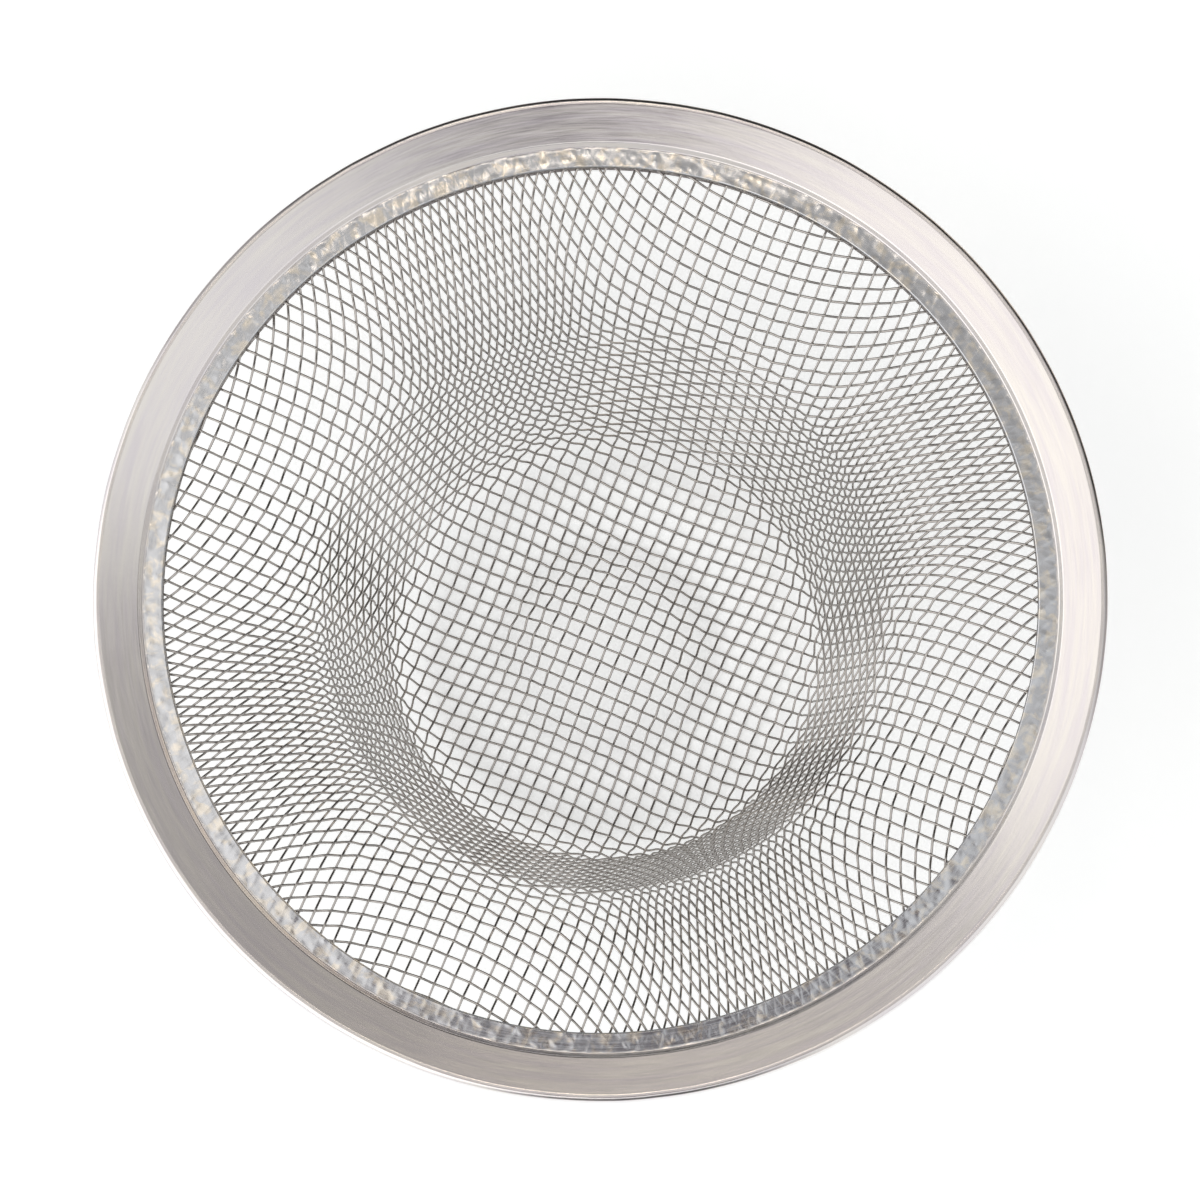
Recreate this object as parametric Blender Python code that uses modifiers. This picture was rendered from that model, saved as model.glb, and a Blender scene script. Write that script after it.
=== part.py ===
"""Shower drain strainer: a pressed basket of woven wire, held in a hemmed sheet-metal rim.

The cloth starts as a flat square weave. A punch presses it to a dish with a deep cup, and the
wires slide and shear as the cup deepens. The rim is a ring of sheet, folded over the cloth's
edge. The strainer stands on the cup's floor at z = 0, with its axis along +Z.
"""
import bmesh
import bpy
import numpy as np
from math import atan2, ceil, cos, hypot, pi, radians, sin, sqrt, tan

MM = 0.001
TINY = 1e-9 * MM

# Rim, a ring of folded sheet
RIM_DIAMETER = 70.0 * MM
RIM_WIDTH = 5.0 * MM
RIM_SHEET = 0.30 * MM
LAND_WIDTH = 1.55 * MM
BAND_RISE = 0.50 * MM
BAND_BEND_RUN = 0.35 * MM
LIP_RADIUS = 0.55 * MM
BEND_RADIUS = 0.25 * MM
RIM_STEPS = 64
RIM_ARC_STEP = radians(30)
SHARP_ABOVE = radians(40)

# Woven cloth. The real wires are three times as many, so each strand here stands for three of
# them and carries the same weight of metal. The strands lie closest on the cup's floor, because
# the press pulls the crimp out of the wires everywhere else.
REAL_WIRE_DIAMETER = 0.16 * MM
WIRES_PER_STRAND = 3
STRANDS_EACH_SIDE = 14
GRIP_PAST_LAST_STRAND = 0.5
SPARE_STRANDS = 3
FLOOR_PITCH_SHARE = 0.955
WEAVE_TURN = radians(-23)
WEAVE_CLEARANCE = 0.04 * MM
HEM_CLEARANCE = 0.06 * MM
HEM_GRIP = 1.30 * MM

# Pressed shape of the cloth's middle surface. Radii of the cup are taken where its straight
# lines would meet, before the fillets.
CUP_DEPTH = 26.2 * MM
DISH_DROP = 1.30 * MM
CUP_MOUTH_RADIUS = 20.7 * MM
CUP_FLOOR_RADIUS = 14.5 * MM
SHOULDER_FILLET = 8.2 * MM
FLOOR_FILLET = 4.3 * MM
HEM_FILLET = 2.0 * MM
HUMP_HEIGHT = 2.4 * MM
HUMP_TOP_RADIUS = 3.0 * MM
HUMP_FOOT_RADIUS = 9.2 * MM

# Cloth in the press
PRESS_STAGES = 24
ROUNDS_PER_STAGE = 50
ROUNDS_AT_THE_END = 500
SHEAR_STIFFNESS = 0.004
BEND_STIFFNESS = 0.04
LOCK_SHARE = 0.38
SPEED_TO_FORCE_RATIO = 0.18
SPEED_KEPT_SHARE = 0.90
LONGEST_MOVE = 0.10 * MM
PROFILE_ARC_STEP = radians(4)
PROFILE_SAMPLE = 0.02 * MM
EXTRA_POINT_ABOVE = radians(18)

# Sizes that follow
STRAND_DIAMETER = REAL_WIRE_DIAMETER * sqrt(WIRES_PER_STRAND)
WEAVE_OFFSET = (STRAND_DIAMETER + WEAVE_CLEARANCE) / 2
CLOTH_HALF = WEAVE_OFFSET + STRAND_DIAMETER / 2
FLOOR_Z = CLOTH_HALF
HEM_Z = FLOOR_Z + CUP_DEPTH
HEM_HALF_GAP = CLOTH_HALF + HEM_CLEARANCE
RIM_RADIUS = RIM_DIAMETER / 2
OPENING_RADIUS = RIM_RADIUS - RIM_WIDTH
GRIP_RADIUS = OPENING_RADIUS + HEM_GRIP


def rounded_path(corners, radii, arc_step):
    """Polyline through the corners, each inner corner turned into an arc of its radius."""
    path = [np.array(corners[0])]
    for before, corner, after, radius in zip(corners, corners[1:], corners[2:], radii):
        corner = np.array(corner)
        into = corner - np.array(before)
        out = np.array(after) - corner
        into /= hypot(*into)
        out /= hypot(*out)
        turn = atan2(into[0] * out[1] - into[1] * out[0], into @ out)
        reach = radius * tan(abs(turn) / 2)
        side = np.array([-into[1], into[0]]) * (1 if turn > 0 else -1)
        centre = corner - into * reach + side * radius
        steps = max(1, ceil(abs(turn) / arc_step))
        for k in range(steps + 1):
            angle = turn * k / steps
            spoke = -side * radius
            path.append(centre + np.array([
                spoke[0] * cos(angle) - spoke[1] * sin(angle),
                spoke[0] * sin(angle) + spoke[1] * cos(angle),
            ]))
    path.append(np.array(corners[-1]))
    return path


def offset_path(path, distance):
    """The path moved to its left by the distance, with mitred corners."""
    moved = []
    for k, point in enumerate(path):
        normals = []
        for a, b in ((k - 1, k), (k, k + 1)):
            if a >= 0 and b < len(path):
                run = path[b] - path[a]
                normals.append(np.array([-run[1], run[0]]) / hypot(*run))
        mitre = sum(normals)
        mitre /= hypot(*mitre)
        moved.append(point + mitre * distance / (mitre @ normals[0]))
    return moved


def make_material(name, color, roughness):
    material = bpy.data.materials.new(name)
    material.use_nodes = True
    shader = material.node_tree.nodes["Principled BSDF"]
    shader.inputs["Base Color"].default_value = (*color, 1.0)
    shader.inputs["Metallic"].default_value = 1.0
    shader.inputs["Roughness"].default_value = roughness
    return material


def add_object(name, data, collection, material):
    data.materials.append(material)
    piece = bpy.data.objects.new(name, data)
    collection.objects.link(piece)
    return piece


def rim_section():
    """Closed section of the rim at +X: down the outside, then back along the inside."""
    leaf = HEM_HALF_GAP + RIM_SHEET / 2
    outer = RIM_RADIUS - RIM_SHEET / 2
    land_end = OPENING_RADIUS + LAND_WIDTH
    middle = rounded_path(
        [
            (OPENING_RADIUS, leaf),
            (land_end, leaf),
            (land_end + BAND_BEND_RUN, leaf + BAND_RISE),
            (outer, leaf + BAND_RISE),
            (outer, -leaf),
            (OPENING_RADIUS, -leaf),
        ],
        [BEND_RADIUS, BEND_RADIUS, LIP_RADIUS, LIP_RADIUS],
        RIM_ARC_STEP,
    )
    outside = offset_path(middle, RIM_SHEET / 2)
    inside = offset_path(middle, -RIM_SHEET / 2)
    return outside + inside[::-1]


def make_rim(collection, material):
    mesh = bpy.data.meshes.new("rim_ring")
    shape = bmesh.new()
    corners = [shape.verts.new((radius, 0.0, height)) for radius, height in rim_section()]
    for a, b in zip(corners, corners[1:] + corners[:1]):
        shape.edges.new((a, b))
    shape.to_mesh(mesh)
    shape.free()
    rim = add_object("rim_ring", mesh, collection, material)
    rim.location.z = HEM_Z
    screw = rim.modifiers.new("Turn", "SCREW")
    screw.axis = "Z"
    screw.angle = 2 * pi
    screw.steps = RIM_STEPS
    screw.render_steps = RIM_STEPS
    screw.use_merge_vertices = True
    screw.merge_threshold = 0.01 * MM
    bpy.context.view_layer.update()
    turned = bpy.data.meshes.new_from_object(rim.evaluated_get(bpy.context.evaluated_depsgraph_get()))
    rim.modifiers.remove(screw)
    rim.data = turned
    turned.name = "rim_ring"
    turned.shade_smooth()
    turned.set_sharp_from_angle(angle=SHARP_ABOVE)
    bpy.data.meshes.remove(mesh)


class PressedSurface:
    """Surface of revolution of the cloth's middle, sampled by arc length from the centre."""

    def __init__(self):
        path = rounded_path(
            [
                (0.0, FLOOR_Z),
                (CUP_FLOOR_RADIUS, FLOOR_Z),
                (CUP_MOUTH_RADIUS, HEM_Z - DISH_DROP),
                (OPENING_RADIUS, HEM_Z),
                (RIM_DIAMETER, HEM_Z),
            ],
            [FLOOR_FILLET, SHOULDER_FILLET, HEM_FILLET],
            PROFILE_ARC_STEP,
        )
        corners = np.array(path)
        along = np.concatenate([[0.0], np.cumsum(np.hypot(*np.diff(corners, axis=0).T))])
        samples = np.arange(0.0, along[-1], PROFILE_SAMPLE)
        self.radius = np.interp(samples, along, corners[:, 0])
        slope_run = np.clip(
            (self.radius - HUMP_TOP_RADIUS) / (HUMP_FOOT_RADIUS - HUMP_TOP_RADIUS), 0, 1
        )
        hump = HUMP_HEIGHT * (1 + np.cos(pi * slope_run)) / 2
        self.full_height = np.interp(samples, along, corners[:, 1]) + hump
        self.press(1.0)

    def press(self, share):
        """Sets the punch to a share of its stroke and measures the arc length anew."""
        self.height = HEM_Z + (self.full_height - HEM_Z) * share
        steps = np.hypot(np.diff(self.radius), np.diff(self.height))
        self.arc = np.concatenate([[0.0], np.cumsum(steps)])
        self.slope_radius = np.gradient(self.radius, self.arc)
        self.slope_height = np.gradient(self.height, self.arc)

    def arc_at_radius(self, radius):
        return np.interp(radius, self.radius, self.arc)

    def at(self, arc):
        """Radius, height and the slope of both, at the given arc lengths."""
        curves = (self.radius, self.height, self.slope_radius, self.slope_height)
        return [np.interp(arc, self.arc, curve) for curve in curves]


class PressedCloth:
    """Square net of wire crossings that relaxes on the surface while the punch goes down."""

    def __init__(self, surface):
        self.surface = surface
        self.half = STRANDS_EACH_SIDE + SPARE_STRANDS
        self.measure_pitch()
        count = np.arange(-self.half, self.half + 1)
        warp, weft = np.meshgrid(count, count, indexing="ij")
        cells = np.hypot(warp, weft)
        self.pitch = self.pitch_at(cells)
        gap_middles = np.arange(2 * self.half) + 0.5
        flat_radii = np.concatenate([[0.0], np.cumsum(self.pitch_at(gap_middles))])
        self.radius = np.interp(cells, np.arange(len(flat_radii)), flat_radii)
        self.angle = np.arctan2(weft, warp) + WEAVE_TURN
        self.inside = cells <= self.half

    def measure_pitch(self):
        """Finds the full pitch at which the outermost strand just stays in the hem's grip."""
        gripped = self.surface.arc_at_radius(GRIP_RADIUS)
        pitches = STRANDS_EACH_SIDE + GRIP_PAST_LAST_STRAND
        self.floor_cells = pitches * CUP_FLOOR_RADIUS / gripped
        self.wall_cells = pitches * CUP_DEPTH / gripped
        short_cells = (1 - FLOOR_PITCH_SHARE) * (self.floor_cells + self.wall_cells / 2)
        self.full_pitch = gripped / (pitches - short_cells)

    def pitch_at(self, cells):
        """Spacing of the strands, small on the floor and full from the wall's top outwards."""
        pulled = np.clip((cells - self.floor_cells) / self.wall_cells, 0, 1)
        return self.full_pitch * (FLOOR_PITCH_SHARE + (1 - FLOOR_PITCH_SHARE) * pulled)

    def place(self):
        radius, height, _, _ = self.surface.at(self.arc)
        self.points = np.stack(
            [radius * np.cos(self.angle), radius * np.sin(self.angle), height], axis=-1
        )

    def springs(self, force, first, second, stiffness, length_share, lock_share):
        """Pulls two sets of crossings to their rest distance, and pushes hard when locked."""
        reach = self.points[second] - self.points[first]
        length = np.sqrt((reach * reach).sum(-1)) + TINY
        rest = length_share * (self.pitch[first] + self.pitch[second]) / 2
        pull = stiffness * (length - rest) + np.minimum(0, length - lock_share * rest)
        pull = np.where(self.inside[first] & self.inside[second], pull, 0) / length
        force[first] += pull[..., None] * reach
        force[second] -= pull[..., None] * reach

    def stiffen(self, force, before, middle, after):
        """Keeps three crossings in a row close to a straight line."""
        bend = self.points[before] - 2 * self.points[middle] + self.points[after]
        held = self.inside[before] & self.inside[middle] & self.inside[after]
        bend = bend * held[..., None] * BEND_STIFFNESS
        force[before] -= bend
        force[middle] += 2 * bend
        force[after] -= bend

    def forces(self):
        force = np.zeros_like(self.points)
        every, low, high = slice(None), slice(0, -1), slice(1, None)
        self.springs(force, (low, every), (high, every), 1.0, 1.0, 0.0)
        self.springs(force, (every, low), (every, high), 1.0, 1.0, 0.0)
        diagonal = sqrt(2)
        self.springs(force, (low, low), (high, high), SHEAR_STIFFNESS, diagonal, LOCK_SHARE)
        self.springs(force, (high, low), (low, high), SHEAR_STIFFNESS, diagonal, LOCK_SHARE)
        first, centre, last = slice(0, -2), slice(1, -1), slice(2, None)
        self.stiffen(force, (first, every), (centre, every), (last, every))
        self.stiffen(force, (every, first), (every, centre), (every, last))
        return force

    def move(self):
        """One round: forces, carried speed, and a step within the surface."""
        force = self.forces()
        radius, _, slope_radius, slope_height = self.surface.at(self.arc)
        east, north = np.cos(self.angle), np.sin(self.angle)
        outward = force[..., 0] * east + force[..., 1] * north
        around = force[..., 1] * east - force[..., 0] * north
        along = outward * slope_radius + force[..., 2] * slope_height
        push = SPEED_TO_FORCE_RATIO * np.stack([along, around], axis=-1)
        self.speed = SPEED_KEPT_SHARE * self.speed + push
        size = np.sqrt((self.speed ** 2).sum(-1)) + TINY
        self.speed *= np.minimum(1, LONGEST_MOVE / size)[..., None]
        step_out, step_around = self.speed[..., 0], self.speed[..., 1]

        # On the flat middle of the floor the arc length is the radius, so the step is taken
        # in x and y there, and passes over the centre without harm.
        x = self.points[..., 0] + step_out * east - step_around * north
        y = self.points[..., 1] + step_out * north + step_around * east
        on_middle = radius < HUMP_TOP_RADIUS
        turn = step_around / np.maximum(radius, HUMP_TOP_RADIUS / 2)
        self.arc = np.where(on_middle, np.hypot(x, y), self.arc + step_out)
        self.angle = np.where(on_middle, np.arctan2(y, x), self.angle + turn)
        self.arc[self.half, self.half] = 0.0
        self.place()

    def press(self):
        self.speed = np.zeros(self.radius.shape + (2,))
        for stage in range(1, PRESS_STAGES + 1):
            self.surface.press(stage / PRESS_STAGES)
            self.arc = self.surface.arc_at_radius(self.radius)
            self.place()
            rounds = ROUNDS_PER_STAGE if stage < PRESS_STAGES else ROUNDS_AT_THE_END
            for _ in range(rounds):
                self.move()
            self.radius = self.surface.at(self.arc)[0]

    def normals(self):
        """Unit normals of the surface at the crossings, on the side that faces up."""
        _, _, slope_radius, slope_height = self.surface.at(self.arc)
        east, north = np.cos(self.angle), np.sin(self.angle)
        return np.stack([-slope_height * east, -slope_height * north, slope_radius], axis=-1)


def woven_line(points, normals, first_side):
    """Centre line of one strand: over one crossing and under the next, ends cut in the hem."""
    radii = np.hypot(points[:, 0], points[:, 1])
    held = np.flatnonzero(radii <= GRIP_RADIUS)
    line = []
    for k in range(held[0] - 1, held[-1] + 2):
        side = first_side * (-1) ** k
        line.append((points[k] + normals[k] * WEAVE_OFFSET * side, normals[k]))
    for end, inner in ((0, 1), (-1, -2)):
        outer_radius = hypot(*line[end][0][:2])
        inner_radius = hypot(*line[inner][0][:2])
        share = (GRIP_RADIUS - inner_radius) / (outer_radius - inner_radius)
        cut = line[inner][0] + (line[end][0] - line[inner][0]) * share
        line[end] = (cut, line[end][1])
    shaped = [line[0][0]]
    for (here, normal), (there, next_normal) in zip(line, line[1:]):
        bend = np.arccos(np.clip(normal @ next_normal, -1, 1))
        if bend > EXTRA_POINT_ABOVE:
            shaped.append(bulged_middle(here, there, normal, next_normal))
        shaped.append(there)
    return shaped


def bulged_middle(here, there, normal, next_normal):
    """Point halfway between two crossings that follows the surface's curve."""
    span = there - here
    length = sqrt(span @ span)
    turn = (next_normal - normal) @ span / length
    sagitta = length * turn / 8
    return (here + there) / 2 + (normal + next_normal) / 2 * sagitta


def make_strand(name, line, collection, material):
    curve = bpy.data.curves.new(name, "CURVE")
    curve.dimensions = "3D"
    spline = curve.splines.new("POLY")
    spline.points.add(len(line) - 1)
    for point, place in zip(spline.points, line):
        point.co = (*place, 1.0)
    curve.bevel_depth = STRAND_DIAMETER / 2
    curve.bevel_resolution = 0
    curve.use_fill_caps = True
    return add_object(name, curve, collection, material)


def make_cloth(collection, material):
    cloth = PressedCloth(PressedSurface())
    cloth.press()
    normals = cloth.normals()
    for number in range(1, 2 * STRANDS_EACH_SIDE + 2):
        row = number - 1 + SPARE_STRANDS
        side = (-1) ** row
        warp = woven_line(cloth.points[row], normals[row], side)
        make_strand(f"warp_wire_{number:02d}", warp, collection, material)
        weft = woven_line(cloth.points[:, row], normals[:, row], -side)
        make_strand(f"weft_wire_{number:02d}", weft, collection, material)


def main():
    for item in list(bpy.data.objects):
        bpy.data.objects.remove(item)
    strainer = bpy.data.collections.new("shower_drain_strainer")
    bpy.context.scene.collection.children.link(strainer)
    rim_metal = make_material("rim_steel", (0.72, 0.71, 0.70), 0.34)
    wire_metal = make_material("wire_steel", (0.55, 0.53, 0.51), 0.30)
    make_rim(strainer, rim_metal)
    make_cloth(strainer, wire_metal)


main()
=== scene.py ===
# %% [markdown]
# # A shower drain strainer in woven wire
#
# The real strainer has two kinds of piece. A disc of plain-woven stainless wire is pressed
# into a shallow dish with a deep cup, and a ring of thin sheet is folded over its cut edge.
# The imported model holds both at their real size, with one strand for about three wires.
# This script keeps those sizes and adds what the eye wants: every wire of the cloth, the
# marks that the press leaves on the ring, and the finish of both metals.

# %% Load the fixed frame
from math import atan2, ceil, cos, hypot, pi, radians, sin, tan

import bmesh
import bpy
import numpy as np
from mathutils import Matrix, Vector


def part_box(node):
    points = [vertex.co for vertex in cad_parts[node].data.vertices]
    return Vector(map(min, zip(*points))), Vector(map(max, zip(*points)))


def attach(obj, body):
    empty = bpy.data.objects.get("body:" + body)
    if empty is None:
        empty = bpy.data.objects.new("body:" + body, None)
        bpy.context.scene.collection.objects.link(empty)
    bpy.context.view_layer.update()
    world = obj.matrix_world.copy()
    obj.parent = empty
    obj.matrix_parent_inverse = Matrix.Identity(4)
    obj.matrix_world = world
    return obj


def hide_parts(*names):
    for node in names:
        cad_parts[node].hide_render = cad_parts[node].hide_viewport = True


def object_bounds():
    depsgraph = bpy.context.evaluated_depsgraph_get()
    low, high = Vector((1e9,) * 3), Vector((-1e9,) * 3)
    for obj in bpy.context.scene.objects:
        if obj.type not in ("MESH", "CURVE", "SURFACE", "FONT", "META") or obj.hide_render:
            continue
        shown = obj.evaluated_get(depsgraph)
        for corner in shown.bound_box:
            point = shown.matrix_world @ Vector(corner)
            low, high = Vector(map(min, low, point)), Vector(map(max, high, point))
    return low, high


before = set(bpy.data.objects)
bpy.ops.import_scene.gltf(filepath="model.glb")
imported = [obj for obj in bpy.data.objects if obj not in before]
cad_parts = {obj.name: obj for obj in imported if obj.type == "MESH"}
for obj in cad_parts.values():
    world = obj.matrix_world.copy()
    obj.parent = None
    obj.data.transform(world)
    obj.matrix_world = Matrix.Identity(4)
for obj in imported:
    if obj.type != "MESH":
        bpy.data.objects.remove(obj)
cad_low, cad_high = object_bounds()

MM = 0.001
rim_low, rim_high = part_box("rim_ring")
print("frame nodes:", len(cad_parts), "box in mm:",
      [round(v / MM, 2) for v in cad_high - cad_low])

# %% [markdown]
# ## The camera
#
# The photograph looks almost straight down, with a long lens: the far and the near side of
# the ring are equally wide. The tilt comes from the ring's outline, which is an ellipse, and
# the distance is long enough to flatten the view. Blender's lens length then follows from
# how large the ring stands in the picture.

# %% Place the camera
PICTURE_WIDTH = 1200.0
RING_WIDTH_IN_PICTURE = 1017.0
VIEW_DISTANCE = 700.0 * MM
VIEW_TILT = radians(8.65)
VIEW_SIDE = radians(-83.4)
AIM_DROP = 0.30 * MM
SENSOR_WIDTH = 36.0
NEAR_CLIP = 0.05
FAR_CLIP = 10.0

ring_width = rim_high.x - rim_low.x
ring_centre = Vector((0.0, 0.0, rim_high.z))
towards_camera = Vector((
    sin(VIEW_TILT) * cos(VIEW_SIDE),
    sin(VIEW_TILT) * sin(VIEW_SIDE),
    cos(VIEW_TILT),
))
across = Vector((-sin(VIEW_SIDE), cos(VIEW_SIDE), 0.0))
along = Vector((cos(VIEW_SIDE) * cos(VIEW_TILT), sin(VIEW_SIDE) * cos(VIEW_TILT), -sin(VIEW_TILT)))
picture_right = across * -sin(VIEW_SIDE) + along * cos(VIEW_SIDE)
picture_up = across * cos(VIEW_SIDE) + along * sin(VIEW_SIDE)

camera_data = bpy.data.cameras.new("long_lens")
camera_data.sensor_width = SENSOR_WIDTH
camera_data.lens = (
    SENSOR_WIDTH * VIEW_DISTANCE / ring_width * RING_WIDTH_IN_PICTURE / PICTURE_WIDTH
)
camera_data.clip_start = NEAR_CLIP
camera_data.clip_end = FAR_CLIP
camera = bpy.data.objects.new("camera", camera_data)
bpy.context.scene.collection.objects.link(camera)
turn = Matrix((picture_right, picture_up, towards_camera)).transposed().to_4x4()
aim = ring_centre - picture_up * AIM_DROP
camera.matrix_world = Matrix.Translation(aim + towards_camera * VIEW_DISTANCE) @ turn
bpy.context.scene.camera = camera
print("lens in mm:", round(camera_data.lens, 1))

# %% [markdown]
# ## The shape that the press gives
#
# The cloth lies between a punch and a die that are both turned on a lathe, so its middle
# surface is a surface of revolution. It could be modelled by eye on a grid, but the wires
# follow it so closely that a half section with filleted corners is easier to hold true. The
# section is kept as a table of radius and height against the length along it.

# %% Draw the half section
WIRE_DIAMETER = 0.18 * MM
CROSSING_GAP = 0.030 * MM
CRIMP = (WIRE_DIAMETER + CROSSING_GAP) / 2
CLOTH_HALF = CRIMP + WIRE_DIAMETER / 2
RIM_WIDTH = 5.0 * MM
RIM_SHEET = 0.30 * MM
HEM_GRIP = 1.30 * MM
LOWER_LEAF = rim_low.z + RIM_SHEET / 2
LEAF_HALF_GAP = 0.400 * MM

HEM_Z = LOWER_LEAF + LEAF_HALF_GAP
FLOOR_Z = cad_low.z + CLOTH_HALF
RIM_RADIUS = ring_width / 2
OPENING_RADIUS = RIM_RADIUS - RIM_WIDTH
GRIP_RADIUS = OPENING_RADIUS + HEM_GRIP

DISH_DROP = 1.30 * MM
CUP_MOUTH_RADIUS = 20.7 * MM
CUP_FLOOR_RADIUS = 14.5 * MM
FLOOR_FILLET = 4.3 * MM
SHOULDER_FILLET = 8.2 * MM
HEM_FILLET = 2.0 * MM
HUMP_HEIGHT = 2.4 * MM
HUMP_TOP_RADIUS = 3.0 * MM
HUMP_FOOT_RADIUS = 9.2 * MM
FILLET_ARC_STEP = radians(4)
SAMPLE_STEP = 0.02 * MM


def rounded_path(corners, radii, arc_step=FILLET_ARC_STEP):
    """Polyline through the corners, with an arc of the given radius at each inner one."""
    path = [np.array(corners[0])]
    for before, corner, after, radius in zip(corners, corners[1:], corners[2:], radii):
        corner = np.array(corner)
        into = corner - np.array(before)
        out = np.array(after) - corner
        into /= hypot(*into)
        out /= hypot(*out)
        turned = atan2(into[0] * out[1] - into[1] * out[0], into @ out)
        side = np.array([-into[1], into[0]]) * (1 if turned > 0 else -1)
        centre = corner - into * radius * tan(abs(turned) / 2) + side * radius
        spoke = -side * radius
        for angle in np.linspace(0, turned, max(2, ceil(abs(turned) / arc_step) + 1)):
            path.append(centre + np.array([
                spoke[0] * cos(angle) - spoke[1] * sin(angle),
                spoke[0] * sin(angle) + spoke[1] * cos(angle),
            ]))
    path.append(np.array(corners[-1]))
    return np.array(path)


section = rounded_path(
    [
        (0.0, FLOOR_Z),
        (CUP_FLOOR_RADIUS, FLOOR_Z),
        (CUP_MOUTH_RADIUS, HEM_Z - DISH_DROP),
        (OPENING_RADIUS, HEM_Z),
        (2 * RIM_RADIUS, HEM_Z),
    ],
    [FLOOR_FILLET, SHOULDER_FILLET, HEM_FILLET],
)
along_section = np.concatenate([[0.0], np.cumsum(np.hypot(*np.diff(section, axis=0).T))])
samples = np.arange(0.0, along_section[-1], SAMPLE_STEP)
table_radius = np.interp(samples, along_section, section[:, 0])
hump_run = np.clip((table_radius - HUMP_TOP_RADIUS) / (HUMP_FOOT_RADIUS - HUMP_TOP_RADIUS), 0, 1)
hump = HUMP_HEIGHT * (1 + np.cos(pi * hump_run)) / 2
pressed_height = np.interp(samples, along_section, section[:, 1]) + hump
print("section points:", len(section), "cup depth in mm:", round((HEM_Z - FLOOR_Z) / MM, 2))

# %% [markdown]
# ## Pressing the cloth
#
# Woven wire can't stretch, but its squares can shear into diamonds, so it takes the shape of
# a cup by sliding, as a shirt does over a shoulder. A texture wrapped on the cup would miss
# this. Here the crossings are a square net of springs, and the punch goes down in
# stages: at each one the net relaxes, stiff along the wires, almost free across them, until
# a diamond is so thin that its wires lock. Each crossing is held by two numbers, its length
# along the section and its angle round the axis, so it can never leave the surface. The net
# keeps most of its speed from round to round and gets many rounds once the punch is down,
# because a net that is stopped too early stays too wide and wavy on the floor.

# %% Make the press
WIRE_PITCH = 1.092 * MM
FLOOR_PITCH_SHARE = 0.955
CRIMPED_FLOOR_SHARE = 0.95
WEAVE_TURN = radians(-23.0)
WIRES_EACH_SIDE = 50
PRESS_STAGES = 30
ROUNDS_PER_STAGE = 20
ROUNDS_AT_THE_END = 1500
SHEAR_STIFFNESS = 0.004
BEND_STIFFNESS = 0.04
LOCK_SHARE = 0.40
FORCE_TO_SPEED = 0.18
SPEED_KEPT = 0.97
LONGEST_MOVE = 0.10 * MM
TINY = 1e-9 * MM


class Die:
    """The section at one share of the punch's stroke, measured along its length."""

    def __init__(self, share):
        self.radius = table_radius
        self.height = HEM_Z + (pressed_height - HEM_Z) * share
        steps = np.hypot(np.diff(self.radius), np.diff(self.height))
        self.arc = np.concatenate([[0.0], np.cumsum(steps)])
        self.slope_radius = np.gradient(self.radius, self.arc)
        self.slope_height = np.gradient(self.height, self.arc)

    def at(self, arc):
        """Radius, height and the slope of both, at the given lengths."""
        curves = (self.radius, self.height, self.slope_radius, self.slope_height)
        return [np.interp(arc, self.arc, curve) for curve in curves]


def cloth_pitch(cells):
    """Wire spacing at a number of cells from the centre: the cup's floor keeps more crimp."""
    floor_cells = CRIMPED_FLOOR_SHARE * CUP_FLOOR_RADIUS / (WIRE_PITCH * FLOOR_PITCH_SHARE)
    wall_cells = (HEM_Z - FLOOR_Z) / WIRE_PITCH
    pulled = np.clip((cells - floor_cells) / wall_cells, 0, 1)
    return WIRE_PITCH * (FLOOR_PITCH_SHARE + (1 - FLOOR_PITCH_SHARE) * pulled)


count = np.arange(-WIRES_EACH_SIDE, WIRES_EACH_SIDE + 1)
warp_number, weft_number = np.meshgrid(count, count, indexing="ij")
cells_out = np.hypot(warp_number, weft_number)
pitch = cloth_pitch(cells_out)
ring_cells = np.arange(2 * WIRES_EACH_SIDE)
flat_radii = np.concatenate([[0.0], np.cumsum(cloth_pitch(ring_cells + 0.5))])
in_disc = cells_out <= WIRES_EACH_SIDE
print("crossings in the disc:", int(in_disc.sum()))

# %% Pull of the springs
EVERY, LOW, HIGH = slice(None), slice(0, -1), slice(1, None)
FIRST, CENTRE, LAST = slice(0, -2), slice(1, -1), slice(2, None)


def add_springs(force, points, first, second, stiffness, rest_share, lock_share):
    """Pulls pairs of crossings to their rest distance, and pushes hard once they lock."""
    reach = points[second] - points[first]
    length = np.sqrt((reach * reach).sum(-1)) + TINY
    rest = rest_share * (pitch[first] + pitch[second]) / 2
    pull = stiffness * (length - rest) + np.minimum(0, length - lock_share * rest)
    pull = np.where(in_disc[first] & in_disc[second], pull, 0) / length
    force[first] += pull[..., None] * reach
    force[second] -= pull[..., None] * reach


def add_bending(force, points, before, middle, after):
    """Keeps three crossings in a row close to a straight line."""
    bend = points[before] - 2 * points[middle] + points[after]
    held = in_disc[before] & in_disc[middle] & in_disc[after]
    bend = bend * held[..., None] * BEND_STIFFNESS
    force[before] -= bend
    force[middle] += 2 * bend
    force[after] -= bend


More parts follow.
